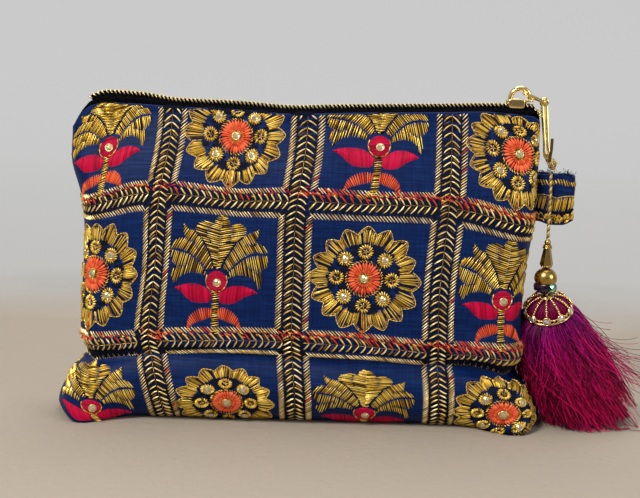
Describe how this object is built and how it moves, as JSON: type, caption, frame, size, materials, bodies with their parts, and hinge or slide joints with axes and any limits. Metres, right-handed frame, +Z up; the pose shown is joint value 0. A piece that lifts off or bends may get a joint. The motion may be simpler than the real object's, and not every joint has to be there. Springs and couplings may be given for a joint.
{
  "type": "zipper pouch",
  "caption": "Embroidered silk zipper pouch, plump and standing on its base, with a gold coil zip, a side loop and a beaded thread tassel hanging from the pull.",
  "frame": {"origin": "on the flat of the base, at the middle of its width, just in front of the seam under it", "axes": "+Z up, -Y out of the front panel, +X along the zip towards its closed end and the tassel"},
  "size_m": [0.2483, 0.0446, 0.1412],
  "materials": {
    "silk": "dark blue slubbed silk under metallic embroidery",
    "zip_tape": "black woven tape",
    "zip_gold": "bright gold plate",
    "gold_thread": "twisted metallic thread",
    "bead_gold": "antique gold plate",
    "crystal": "dark iridescent faceted glass",
    "tassel_thread": "glossy viscose thread, violet to crimson"
  },
  "bodies": {
    "pouch": {"front_panel": "silk", "back_panel": "silk", "side_loop": "silk", "zip_tape_front": "zip_tape", "zip_tape_back": "zip_tape", "zip_coil_front": "zip_gold", "zip_coil_back": "zip_gold", "zip_slider": "zip_gold", "pull_link": "zip_gold"},
    "pull_and_tassel": {"zip_pull": "zip_gold", "cord_knot": "gold_thread", "tassel_cord": "gold_thread", "cone_bead": "bead_gold", "round_bead": "bead_gold", "crystal_bead": "crystal", "tassel_cap": "bead_gold", "tassel_head": "tassel_thread", "tassel_skirt": "tassel_thread"}
  },
  "joints": [
    {"name": "pull_swing", "type": "hinge", "parent": "pouch", "child": "pull_and_tassel", "pos_m": [0.0964, 0, 0.1353], "axis": [0, -1, 0], "range_deg": [0, 90]}
  ]
}
